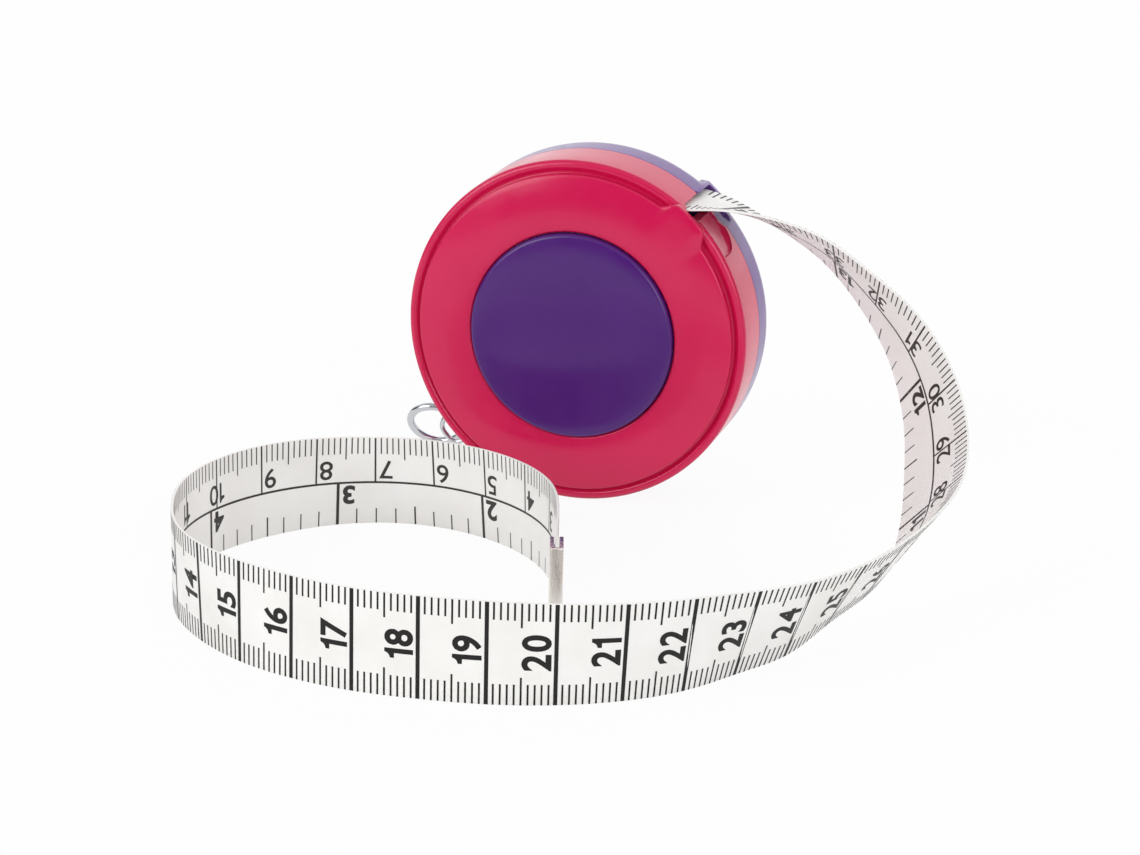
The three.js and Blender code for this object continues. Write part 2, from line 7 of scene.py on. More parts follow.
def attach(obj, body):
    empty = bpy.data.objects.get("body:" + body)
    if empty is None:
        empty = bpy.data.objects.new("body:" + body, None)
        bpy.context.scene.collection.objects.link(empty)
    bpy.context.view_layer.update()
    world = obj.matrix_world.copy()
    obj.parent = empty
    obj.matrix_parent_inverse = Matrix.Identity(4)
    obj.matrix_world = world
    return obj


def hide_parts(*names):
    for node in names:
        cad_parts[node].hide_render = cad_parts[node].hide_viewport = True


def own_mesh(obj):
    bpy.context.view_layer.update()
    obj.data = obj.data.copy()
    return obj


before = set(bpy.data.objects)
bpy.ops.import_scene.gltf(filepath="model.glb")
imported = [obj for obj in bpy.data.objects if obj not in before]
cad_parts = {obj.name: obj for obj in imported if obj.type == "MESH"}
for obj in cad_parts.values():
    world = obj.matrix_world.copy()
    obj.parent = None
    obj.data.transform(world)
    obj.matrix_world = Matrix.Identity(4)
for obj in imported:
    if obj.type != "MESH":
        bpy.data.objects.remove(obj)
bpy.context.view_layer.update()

mm = 0.001
axisHeight = 29.577  # the reel's axis above the table, mm
tiny = 1e-6  # metres: points closer than this are one
scene = bpy.context.scene
scene.view_settings.view_transform = "Standard"

# The camera stands half a metre in front of the case, a little to the right and above it.
cameraView = {
    "lens": 98.43,
    "sensor": 36.0,
    "place": (146.2, -490.7, 177.7),
    "right": (0.9567, 0.2910, 0.0),
    "ahead": (-0.2766, 0.9092, -0.3112),
    "roll": 1.37,
}


def placeCamera():
    bpy.ops.object.camera_add(location=[v * mm for v in cameraView["place"]])
    camera = bpy.context.object
    camera.name = "view_camera"
    camera.data.lens = cameraView["lens"]
    camera.data.sensor_width = cameraView["sensor"]
    ahead = Vector(cameraView["ahead"]).normalized()
    right = Vector(cameraView["right"]).normalized()
    up = right.cross(ahead)
    turn = math.radians(cameraView["roll"])
    tiltedRight = right * math.cos(turn) + up * math.sin(turn)
    tiltedUp = up * math.cos(turn) - right * math.sin(turn)
    camera.rotation_euler = Matrix((tiltedRight, tiltedUp, -ahead)).transposed().to_euler()
    scene.camera = camera


def clearSelection():
    if bpy.context.object and bpy.context.object.mode == "EDIT":
        bpy.ops.object.mode_set(mode="OBJECT")
    bpy.ops.object.select_all(action="DESELECT")


def pick(*pieces):
    clearSelection()
    for piece in pieces:
        piece.select_set(True)
    bpy.context.view_layer.objects.active = pieces[0]


def selectAll():
    bpy.ops.mesh.select_all(action="SELECT")


def editAll(piece):
    pick(piece)
    bpy.ops.object.mode_set(mode="EDIT")
    bpy.ops.mesh.select_mode(type="VERT")
    selectAll()


def doneEditing():
    bpy.ops.object.mode_set(mode="OBJECT")


def turnNormalsOut():
    selectAll()
    bpy.ops.mesh.normals_make_consistent(inside=False)


def selectEdges(piece, test):
    # picks edges by the places of their two ends and stays in edit mode
    bpy.ops.mesh.select_all(action="DESELECT")
    bpy.ops.mesh.select_mode(type="EDGE")
    doneEditing()
    mesh = piece.data
    for edge in mesh.edges:
        a, b = (mesh.vertices[i].co for i in edge.vertices)
        edge.select = bool(test(a, b))
    bpy.ops.object.mode_set(mode="EDIT")


def applyModifier(piece, kind, **settings):
    pick(piece)
    modifier = piece.modifiers.new(kind.lower(), kind)
    for name, value in settings.items():
        setattr(modifier, name, value)
    bpy.ops.object.modifier_apply(modifier=modifier.name)


def cutAway(piece, cutter):
    applyModifier(piece, "BOOLEAN", operation="DIFFERENCE", solver="EXACT", object=cutter)
    bpy.data.objects.remove(cutter)


def roundEdges(piece, width, segments, degrees):
    applyModifier(piece, "BEVEL", width=width * mm, segments=segments, limit_method="ANGLE",
                  angle_limit=math.radians(degrees))


def joinPieces(name, pieces):
    pick(*pieces)
    if len(pieces) > 1:
        bpy.ops.object.join()
    pieces[0].name = name
    pieces[0].data.name = name
    return pieces[0]


def smoothByAngle(piece, degrees):
    pick(piece)
    bpy.ops.object.shade_smooth_by_angle(angle=math.radians(degrees))


def arcPoints(centre, radii, start, end, steps):
    # points on an ellipse's arc, degrees from the first axis
    return [(centre[0] + radii[0] * math.cos(math.radians(start + (end - start) * i / steps)),
             centre[1] + radii[1] * math.sin(math.radians(start + (end - start) * i / steps)))
            for i in range(steps + 1)]


def drawnOutline(name, points, closed=True):
    # a plane merged to one point and extruded from point to point, in metres; stays in edit mode
    clearSelection()
    bpy.ops.mesh.primitive_plane_add(size=mm, location=points[0])
    piece = bpy.context.object
    piece.name = name
    bpy.ops.object.transform_apply(location=True)
    editAll(piece)
    bpy.ops.mesh.merge(type="CENTER")
    for before, after in zip(points, points[1:] + (points[:1] if closed else [])):
        step = Vector(after) - Vector(before)
        bpy.ops.mesh.extrude_vertices_move(TRANSFORM_OT_translate={"value": step})
    selectAll()
    bpy.ops.mesh.remove_doubles(threshold=tiny)
    return piece


def spunPiece(name, profile, steps, closed=True):
    # a profile of (radius, y) in mm, spun round the reel's axis
    piece = drawnOutline(name, [(r * mm, y * mm, axisHeight * mm) for r, y in profile], closed)
    selectAll()
    bpy.ops.mesh.spin(steps=steps, angle=2 * math.pi, center=(0, 0, axisHeight * mm), axis=(0, 1, 0))
    selectAll()
    bpy.ops.mesh.remove_doubles(threshold=tiny)
    turnNormalsOut()
    doneEditing()
    return piece


def fillAndRaise(way):
    # fills the drawn outline and extrudes it by this way, in metres
    selectAll()
    bpy.ops.mesh.edge_face_add()
    bpy.ops.mesh.extrude_region_move(TRANSFORM_OT_translate={"value": way})
    turnNormalsOut()


def raisedOutline(name, points, front, back):
    # a closed outline of (x, z) in mm, raised from y = front to y = back
    piece = drawnOutline(name, [(x * mm, front * mm, z * mm) for x, z in points])
    fillAndRaise((0, (back - front) * mm, 0))
    doneEditing()
    return piece


def onRim(radius, degrees):
    angle = math.radians(degrees)
    return radius * math.cos(angle), axisHeight + radius * math.sin(angle)


def outAndAlong(degrees):
    # outwards from the reel's axis, and anticlockwise along the wall as the button side shows it
    angle = math.radians(degrees)
    return (Vector((math.cos(angle), 0, math.sin(angle))),
            Vector((-math.sin(angle), 0, math.cos(angle))))


def wirePiece(name, points, radius, sides, closed=False):
    # a round wire along points in metres
    clearSelection()
    curve = bpy.data.curves.new(name, "CURVE")
    curve.dimensions = "3D"
    line = curve.splines.new("POLY")
    line.points.add(len(points) - 1)
    for spot, point in zip(line.points, points):
        spot.co = (*point, 1)
    line.use_cyclic_u = closed
    curve.bevel_depth = radius
    curve.bevel_resolution = sides
    curve.use_fill_caps = True
    piece = bpy.data.objects.new(name, curve)
    scene.collection.objects.link(piece)
    pick(piece)
    bpy.ops.object.convert(target="MESH")
    piece = bpy.context.object
    editAll(piece)
    turnNormalsOut()
    doneEditing()
    return piece


def layFlatMap(piece, spotOf):
    # a UV layer in mm, which gives the weave its scale
    flat = piece.data.uv_layers.new(name="flat_mm")
    for loop in piece.data.loops:
        flat.data[loop.index].uv = spotOf(piece.data.vertices[loop.vertex_index].co)


def toLinear(code):
    parts = [int(code[i:i + 2], 16) / 255 for i in (1, 3, 5)]
    return [p / 12.92 if p <= 0.04045 else ((p + 0.055) / 1.055) ** 2.4 for p in parts] + [1.0]


def addNode(tree, kind, inputs=None, **settings):
    node = tree.nodes.new("ShaderNode" + kind)
    for name, value in settings.items():
        setattr(node, name, value)
    for name, value in (inputs or {}).items():
        socket = node.inputs[name]
        if isinstance(value, bpy.types.NodeSocket):
            tree.links.new(value, socket)
        else:
            socket.default_value = value
    return node


def newMaterial(name):
    material = bpy.data.materials.new(name)
    material.use_nodes = True
    tree = material.node_tree
    shader = tree.nodes["Principled BSDF"]
    return material, tree, shader


def dress(piece, material):
    piece.data.materials.clear()
    piece.data.materials.append(material)


def noise(tree, vector, scale, detail, **more):
    inputs = {"Vector": vector, "Scale": scale, "Detail": detail, **more}
    return addNode(tree, "TexNoise", inputs).outputs["Fac"]


def toneRamp(tree, share, colours, span=(0, 1)):
    ramp = addNode(tree, "ValToRGB", {"Fac": share})
    for stop, colour, position in zip(ramp.color_ramp.elements, colours, span):
        stop.position = position
        stop.color = toLinear(colour)
    return ramp.outputs["Color"]


def remap(tree, value, span, to=(0, 1)):
    inputs = {"Value": value, "From Min": span[0], "From Max": span[1], "To Min": to[0], "To Max": to[1]}
    return addNode(tree, "MapRange", inputs).outputs["Result"]


def combine(tree, operation, a, b):
    return addNode(tree, "Math", {0: a, 1: b}, operation=operation).outputs["Value"]


def addRelief(tree, shader, height, strength, metres):
    bump = addNode(tree, "Bump", {"Height": height, "Strength": strength, "Distance": metres})
    tree.links.new(bump.outputs["Normal"], shader.inputs["Normal"])


def mouldedPlastic(name, look):
    # Injection-moulded ABS: a smooth gloss with the faint ripple that the mould's polish leaves.
    material, tree, shader = newMaterial(name)
    place = addNode(tree, "TexCoord").outputs["Object"]
    clouds = noise(tree, place, look["cloudScale"], 3.0)
    tone = toneRamp(tree, clouds, look["colours"], (0.3, 0.75))
    scuffs = noise(tree, place, look["scuffScale"], 6.0, Roughness=0.7)
    gloss = remap(tree, scuffs, (0.35, 0.75), look["gloss"])
    ripple = noise(tree, place, look["rippleScale"], 2.0)
    tree.links.new(tone, shader.inputs["Base Color"])
    tree.links.new(gloss, shader.inputs["Roughness"])
    addRelief(tree, shader, ripple, look["ripple"], 0.00002)
    shader.inputs["IOR"].default_value = 1.46
    return material


def platedMetal(name, look):
    # Plated or rolled steel: fine grain along one direction breaks up the mirror.
    material, tree, shader = newMaterial(name)
    place = addNode(tree, "TexCoord").outputs["Object"]
    stretch = addNode(tree, "Mapping", {"Vector": place, "Scale": look["grain"]}).outputs["Vector"]
    grain = noise(tree, stretch, look["grainScale"], 4.0)
    gloss = remap(tree, grain, (0.3, 0.7), look["gloss"])
    shader.inputs["Base Color"].default_value = toLinear(look["colour"])
    shader.inputs["Metallic"].default_value = 1.0
    tree.links.new(gloss, shader.inputs["Roughness"])
    addRelief(tree, shader, grain, look["relief"], 0.00001)
    return material


tapeLook = {
    "colour": "#F7F6F4",
    "shade": "#F0EEEB",
    "thread": 0.45,    # mm between threads of the woven core, as it shows through the coating
    "relief": 0.10,
    "rough": 0.42,
    "soilScale": 0.08,    # waves to a mm: patches of some 12 mm
}


def coatedWeave():
    # Woven polyester tape with a vinyl coat: the threads show only as a faint even relief.
    material, tree, shader = newMaterial("coated_woven_tape")
    flat = addNode(tree, "UVMap", uv_map="flat_mm").outputs["UV"]
    # a wave's own period is 0.314 units, so this scale gives one wave to a thread
    threads = {"Vector": flat, "Scale": 0.314 / tapeLook["thread"], "Distortion": 0.3}
    warp = addNode(tree, "TexWave", threads, bands_direction="X").outputs["Fac"]
    weft = addNode(tree, "TexWave", threads, bands_direction="Y").outputs["Fac"]
    weave = combine(tree, "MULTIPLY", warp, weft)
    soil = noise(tree, flat, tapeLook["soilScale"], 4.0)
    tone = toneRamp(tree, soil, (tapeLook["shade"], tapeLook["colour"]), (0.35, 0.65))
    tree.links.new(tone, shader.inputs["Base Color"])
    addRelief(tree, shader, weave, tapeLook["relief"], 0.00003)
    shader.inputs["Roughness"].default_value = tapeLook["rough"]
    shader.inputs["IOR"].default_value = 1.5
    return material


def printingInk(name, colours):
    # Gravure-printed ink: a thin dense film on the same satin coat, uneven over patches of a millimetre.
    material, tree, shader = newMaterial(name)
    place = addNode(tree, "TexCoord").outputs["Object"]
    tone = toneRamp(tree, noise(tree, place, 900.0, 3.0), colours)
    tree.links.new(tone, shader.inputs["Base Color"])
    shader.inputs["Roughness"].default_value = 0.5
    shader.inputs["IOR"].default_value = 1.4
    return material


def pressedFelt():
    # Pressed wool felt: matted fibres of about half a millimetre, no gloss.
    material, tree, shader = newMaterial("pressed_wool_felt")
    place = addNode(tree, "TexCoord").outputs["Object"]
    fibres = noise(tree, place, 1600.0, 8.0, Distortion=1.5)
    tree.links.new(toneRamp(tree, fibres, ("#333338", "#66666C")), shader.inputs["Base Color"])
    addRelief(tree, shader, fibres, 0.6, 0.0001)
    shader.inputs["Roughness"].default_value = 0.95
    return material


def makeMaterials():
    # scales are waves to a metre: 60 is clouds of some 17 mm, 1500 a ripple of 0.7 mm, 2600 a grain of 0.4 mm
    return {
        "pink": mouldedPlastic("raspberry_moulded_abs", {
            "colours": ("#CE0D4D", "#D51754"), "cloudScale": 60.0, "scuffScale": 220.0,
            "gloss": (0.15, 0.24), "rippleScale": 1500.0, "ripple": 0.05}),
        "purple": mouldedPlastic("violet_moulded_abs", {
            "colours": ("#5D2F88", "#673992"), "cloudScale": 60.0, "scuffScale": 220.0,
            "gloss": (0.16, 0.26), "rippleScale": 1500.0, "ripple": 0.05}),
        "button": mouldedPlastic("aubergine_moulded_abs", {
            "colours": ("#47116F", "#4E1877"), "cloudScale": 70.0, "scuffScale": 260.0,
            "gloss": (0.17, 0.28), "rippleScale": 1500.0, "ripple": 0.05}),
        "inner": mouldedPlastic("natural_moulded_nylon", {
            "colours": ("#D8D4CB", "#E2DFD8"), "cloudScale": 90.0, "scuffScale": 500.0,
            "gloss": (0.45, 0.6), "rippleScale": 3000.0, "ripple": 0.2}),
        "chrome": platedMetal("bright_chrome_plate", {
            "colour": "#C8CACE", "grain": (1.0, 1.0, 1.0), "grainScale": 900.0, "gloss": (0.05, 0.13),
            "relief": 0.05}),
        "clip": platedMetal("tumbled_nickel_plate", {
            "colour": "#E6E2DC", "grain": (1.0, 1.0, 0.08), "grainScale": 2600.0, "gloss": (0.2, 0.38),
            "relief": 0.15}),
        "spring": platedMetal("rolled_spring_steel", {
            "colour": "#8B8E95", "grain": (1.0, 0.06, 1.0), "grainScale": 2200.0, "gloss": (0.25, 0.45),
            "relief": 0.2}),
        "felt": pressedFelt(),
        "tape": coatedWeave(),
        "boldInk": printingInk("black_tape_ink", ("#0B0A0A", "#191716")),
        "fineInk": printingInk("thin_black_tape_ink", ("#2C2A28", "#3B3936")),
    }


tapeSize = {
    "width": 16.0,
    "thick": 0.4,
    "softEdge": 0.07,
    "step": 0.5,        # mm between cross rows
    "evening": 4.0,     # mm over which the listed way is evened out
    "plateGap": 0.95,   # from the metal end's closed side to the cloth
    "mouthX": 17.8,     # the lead inside the case ends here
}
leadPoints = [[-1, -0.3, 52.277, 0, 1, 0], [8, -0.3, 52.277, 0, 1, 0], [17.8, -0.3, 52.277, 0, 1, 0]]
# x, y, z and the lean from the near or upper edge to the far or lower one
route = [
    [21.5, -0.5, 52, 0, 1, -0.1], [31.5, -2, 50, -0.05, 0.95, -0.35], [41.5, -4, 46.5, -0.15, 0.85, -0.5],
    [50, -7, 40.5, -0.25, 0.75, -0.6], [57, -11, 34.5, -0.4, 0.6, -0.7], [62, -16, 27.5, -0.55, 0.45, -0.7],
    [65, -23.5, 21, -0.65, 0.35, -0.65], [66.5, -32.5, 16, -0.65, 0.4, -0.65], [66, -42, 13, -0.5, 0.5, -0.7],
    [63.5, -51, 11, -0.4, 0.55, -0.75], [59.5, -60, 9.5, -0.4, 0.5, -0.8], [54.5, -69, 8, -0.3, 0.35, -0.9],
    [48.5, -77, 8, -0.25, 0.25, -0.95], [42, -84.5, 8, -0.15, 0.15, -1], [34.5, -90.5, 8, -0.1, 0.1, -1],
    [25.5, -95, 8, -0.05, 0.05, -1], [15.5, -98, 8, -0.05, 0, -1], [5.5, -99.5, 8, -0.05, 0, -1],
    [-5, -100, 8, -0.05, 0, -1], [-15, -98.5, 8, -0.05, 0, -1], [-24, -95.5, 8, 0, 0, -1],
    [-32.5, -90.5, 8, 0, 0.05, -1], [-39.5, -83.5, 8, 0, 0.05, -1], [-44, -75, 8, 0, 0, -1],
    [-46.5, -65.5, 8, 0, 0, -1], [-46, -56, 8, 0, 0, -1], [-42.5, -47, 8, 0, 0, -1], [-36, -39, 8, 0, 0.1, -1],
    [-27, -33.5, 8, -0.05, 0.15, -1], [-17, -31.5, 8, -0.05, 0.15, -1], [-7, -33.5, 8, 0, 0.1, -1],
    [1.5, -38.5, 8, 0, 0.05, -1], [8, -46, 8, 0, 0, -1], [12, -55, 8, 0, 0, -1], [15, -65, 8, 0, 0, -1],
    [18, -74.5, 8, 0, 0, -1],
]


def splineThrough(points, steps):
    # a centripetal Catmull-Rom spline through rows of place and lean
    rows = numpy.array(points, float)
    rows = numpy.vstack([2 * rows[0] - rows[1], rows, 2 * rows[-1] - rows[-2]])
    line = []
    for i in range(1, len(rows) - 2):
        p = rows[i - 1:i + 3]
        gaps = numpy.linalg.norm(numpy.diff(p[:, :3], axis=0), axis=1) ** 0.5
        k = numpy.concatenate([[0], numpy.cumsum(gaps)])
        for t in numpy.linspace(k[1], k[2], steps, endpoint=False):
            a = [((k[j + 1] - t) * p[j] + (t - k[j]) * p[j + 1]) / (k[j + 1] - k[j]) for j in range(3)]
            b = [((k[j + 2] - t) * a[j] + (t - k[j]) * a[j + 1]) / (k[j + 2] - k[j]) for j in range(2)]
            line.append(((k[2] - t) * b[0] + (t - k[1]) * b[1]) / (k[2] - k[1]))
    line.append(rows[-2])
    return numpy.array(line)


def lengthsAlong(place):
    return numpy.concatenate([[0], numpy.cumsum(numpy.linalg.norm(numpy.diff(place, axis=0), axis=1))])


def evenSteps(line, step):
    along = lengthsAlong(line[:, :3])
    count = int(round(along[-1] / step))
    spots = numpy.linspace(0, along[-1], count + 1)
    return numpy.stack([numpy.interp(spots, along, line[:, c]) for c in range(line.shape[1])], axis=1)


def evened(line, reach, step):
    # a running mean that keeps the ends and doesn't pull the bends inwards
    half = int(3 * reach / step)
    weights = numpy.exp(-0.5 * (numpy.arange(-half, half + 1) * step / reach) ** 2)
    weights /= weights.sum()

    def runningMean(rows):
        before = 2 * rows[0] - rows[half:0:-1]
        after = 2 * rows[-1] - rows[-2:-half - 2:-1]
        long = numpy.vstack([before, rows, after])
        return numpy.stack([numpy.convolve(long[:, c], weights, "valid") for c in range(rows.shape[1])], axis=1)

    mean = runningMean(line)
    return mean + runningMean(line - mean)


def makeWay():
    step = tapeSize["step"]
    line = evenSteps(splineThrough(leadPoints + route, 40), step)
    line = evenSteps(evened(line, tapeSize["evening"], step), step)
    place = line[:, :3]
    ahead = numpy.gradient(place, axis=0)
    ahead /= numpy.linalg.norm(ahead, axis=1)[:, None]
    lean = line[:, 3:]
    lean = lean - (lean * ahead).sum(axis=1)[:, None] * ahead
    lean /= numpy.linalg.norm(lean, axis=1)[:, None]
    half = tapeSize["width"] / 2
    place[:, 2] = numpy.maximum(place[:, 2], half * numpy.abs(lean[:, 2]))  # no edge goes under the table
    along = lengthsAlong(place)
    fromTip = along[-1] - along
    leadRows = 60   # more rows than the lead has, fewer than where the way turns back
    mouthAt = numpy.interp(tapeSize["mouthX"], place[:leadRows, 0], along[:leadRows])
    return {"fromTip": fromTip[::-1], "place": place[::-1], "lean": lean[::-1],
            "side": numpy.cross(ahead, lean)[::-1], "free": along[-1] - mouthAt}


def layOnWay(piece, way):
    # flat x runs from the tip, flat -y across from the upper edge, z off the middle of the cloth
    count = len(piece.data.vertices)
    flat = numpy.empty(count * 3)
    piece.data.vertices.foreach_get("co", flat)
    s, y, z = (flat.reshape(-1, 3) / mm).T

    def at(name):
        return numpy.stack([numpy.interp(s, way["fromTip"], way[name][:, c]) for c in range(3)], axis=1)

    across = -y - tapeSize["width"] / 2
    laid = at("place") + at("lean") * across[:, None] + at("side") * z[:, None]
    piece.data.vertices.foreach_set("co", (laid * mm).ravel())
    piece.data.update()


def makeTape(way, materials):
    length = way["fromTip"][-1] - tapeSize["plateGap"]
    width, thick = tapeSize["width"], tapeSize["thick"]
    clearSelection()
    bpy.ops.mesh.primitive_grid_add(x_subdivisions=int(length / tapeSize["step"]), y_subdivisions=8, size=1)
    tape = bpy.context.object
    tape.name = "cloth_tape"
    tape.scale = (length * mm, width * mm, 1)
    tape.location = ((tapeSize["plateGap"] + length / 2) * mm, -width / 2 * mm, -thick / 2 * mm)
    bpy.ops.object.transform_apply(location=True, rotation=True, scale=True)
    editAll(tape)
    bpy.ops.mesh.extrude_region_move(TRANSFORM_OT_translate={"value": (0, 0, thick * mm)})
    turnNormalsOut()

    def longEdge(a, b):
        onSide = min(abs(a.y), abs(a.y + width * mm)) < tiny and abs(a.y - b.y) < tiny
        return onSide and abs(a.z - b.z) < tiny and abs(a.x - b.x) > tiny

    selectEdges(tape, longEdge)
    bpy.ops.mesh.bevel(offset=tapeSize["softEdge"] * mm, segments=2, affect="EDGES")
    doneEditing()
    layFlatMap(tape, lambda spot: (spot.x / mm, -spot.y / mm))
    for extra in [layer for layer in tape.data.uv_layers if layer.name != "flat_mm"]:
        tape.data.uv_layers.remove(extra)
    layOnWay(tape, way)
    smoothByAngle(tape, 50)
    dress(tape, materials["tape"])
    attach(tape, "case")
    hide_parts("free_tape", "tape_lead")
    return tape


printMargin = 0.05  # mm of bare cloth along each edge
digitGap = 0.11     # between two digits, against their height
# The outer side has full lines at the centimetres, ticks on both edges and bold numbers turned a quarter.
outerPrint = {
    "lift": 0.02,          # mm above the cloth
    "line": 0.61,
    "tick": 0.29,
    "tickLong": (2.75, 3.3),   # on the upper and the lower edge
    "halfLong": (3.85, 4.4),
    "numberHigh": 4.3,
    "numberWide": 0.93,    # against the font's own width
    "weight": 0.028,       # bolder by this share of the letter size
    "middle": 7.7,         # across the tape
    "afterLine": 0.37,
    "cuts": 0.8,           # mm between cuts, so that a number bends with the cloth
}
# The inner side has a centimetre scale on one edge and an inch scale on the other, with a line between.
innerPrint = {
    "lift": 0.02,
    "line": 0.3,
    "tick": 0.21,
    "tickLong": 3.0,
    "halfLong": 4.0,
    "midLine": 8.3,
    "midThick": 0.38,
    "midFrom": 6,          # mm from the tip
    "numberHigh": 3.4,
    "numberBase": 4.2,
    "numberWide": 1.03,
    "numberGap": 0.6,      # before its line
    "weight": 0.008,
    "inch": 25.4,
    "inchLine": 0.5,
    "inchTick": 2.8,
    "inchHalf": 3.4,
    "inchHigh": 3.5,
    "inchBase": 8.8,
    "inchWeight": 0.034,
    "inchGap": 0.8,
    "halfBolder": 1.3,     # the half inches against the ticks
    "cuts": 0.8,
}
# The font's own 1 is a bare stroke, so a flagged one is drawn, against its height.
drawnOne = {
    "left": 0.19,       # the stem's left side
    "stem": 0.11,
    "growth": 2.8,      # the stem's added width against the weight
    "flag": [(0.23, 1), (0.19, 0.91), (0.12, 0.84), (0, 0.8), (0, 0.66), (0.19, 0.66)],
}


def inkBar(fromEdge, toEdge, thick, first, count, pitch):
    # a bar across the page at x = first, repeated along it
    clearSelection()
    bpy.ops.mesh.primitive_plane_add(size=1)
    bar = bpy.context.object
    bar.scale = (thick * mm, (toEdge - fromEdge) * mm, 1)
    bar.location = (first * mm, (fromEdge + toEdge) / 2 * mm, 0)
    bpy.ops.object.transform_apply(location=True, rotation=True, scale=True)
    if count > 1:
        applyModifier(bar, "ARRAY", count=count, use_relative_offset=False, use_constant_offset=True,
                      constant_offset_displace=(pitch * mm, 0, 0))
    return bar


def inkDigit(char, weight):
    # a digit one unit high that starts at x = 0
    clearSelection()
    if char == "1":
        left, stem = drawnOne["left"], drawnOne["stem"] + drawnOne["growth"] * weight
        corners = [(left, 0), (left + stem, 0), (left + stem, 1)] + drawnOne["flag"]
        digit = drawnOutline("digit", [(x, y, 0) for x, y in corners])
        selectAll()
        bpy.ops.mesh.edge_face_add()
        doneEditing()
        if digit.data.polygons[0].normal.z < 0:
            digit.data.flip_normals()
        return digit
    bpy.ops.object.text_add()
    bpy.context.object.data.body = char
    bpy.context.object.data.offset = weight
    bpy.context.object.data.resolution_u = 5
    bpy.ops.object.convert(target="MESH")
    digit = bpy.context.object
    low = [min(v.co[i] for v in digit.data.vertices) for i in (0, 1)]
    top = max(v.co.y for v in digit.data.vertices)
    scale = Matrix.Diagonal([1 / (top - low[1])] * 2 + [1, 1])
    digit.data.transform(scale @ Matrix.Translation((-low[0], -low[1], 0)))
    return digit


def inkNumber(text, high, wide, weight, cuts, cutAlong):
    # a number standing on the page's origin line, its middle at x = 0
    digits, end = [], 0
    for char in text:
        digit = inkDigit(char, weight)
        digit.data.transform(Matrix.Translation((end, 0, 0)))
        end = max(v.co.x for v in digit.data.vertices) + digitGap
        digits.append(digit)
    number = joinPieces("number", digits)
    middle = Matrix.Translation(((digitGap - end) / 2, 0, 0))
    number.data.transform(Matrix.Diagonal((high * wide * mm, high * mm, 1, 1)) @ middle)
    spread = [v.co[0 if cutAlong == "x" else 1] for v in number.data.vertices]
    editAll(number)
    bpy.ops.mesh.remove_doubles(threshold=1e-7)  # finer than tiny, because the digits are so small
    start, span = min(spread), max(spread) - min(spread)
    pieces = int(span / (cuts * mm)) + 1
    for i in range(1, pieces):
        spot = start + span * i / pieces
        selectAll()
        if cutAlong == "x":
            bpy.ops.mesh.bisect(plane_co=(spot, 0, 0), plane_no=(1, 0, 0))
        else:
            bpy.ops.mesh.bisect(plane_co=(0, spot, 0), plane_no=(0, 1, 0))
    doneEditing()
    return number


def printOuter(way, materials):
    p = outerPrint
    width = tapeSize["width"]
    millimetres = int(way["free"])
    centimetres = millimetres // 10
    upperTick, lowerTick = p["tickLong"]
    upperHalf, lowerHalf = p["halfLong"]
    marks = [
        inkBar(printMargin, width - printMargin, p["line"], 10, centimetres, 10),
        inkBar(printMargin, upperTick, p["tick"], 1, millimetres, 1),
        inkBar(width - lowerTick, width - printMargin, p["tick"], 1, millimetres, 1),
        inkBar(printMargin, upperHalf, p["tick"], 5, centimetres + 1, 10),
        inkBar(width - lowerHalf, width - printMargin, p["tick"], 5, centimetres + 1, 10),
    ]
    for mark in marks:  # drawn with y counting down the page
        mark.data.transform(Matrix.Diagonal((1, -1, 1, 1)))
        mark.data.flip_normals()
    for count in range(1, centimetres + 1):
        number = inkNumber(str(count), p["numberHigh"], p["numberWide"], p["weight"], p["cuts"], "y")
        base = 10 * count - p["line"] / 2 - p["afterLine"]
        turn = Matrix.Translation((base * mm, -p["middle"] * mm, 0)) @ Matrix.Rotation(math.pi / 2, 4, "Z")
        number.data.transform(turn)
        marks.append(number)
    outer = joinPieces("tape_print_outer", marks)
    outer.data.transform(Matrix.Translation((0, 0, (tapeSize["thick"] / 2 + p["lift"]) * mm)))
    return finishPrint(outer, way, materials["boldInk"])


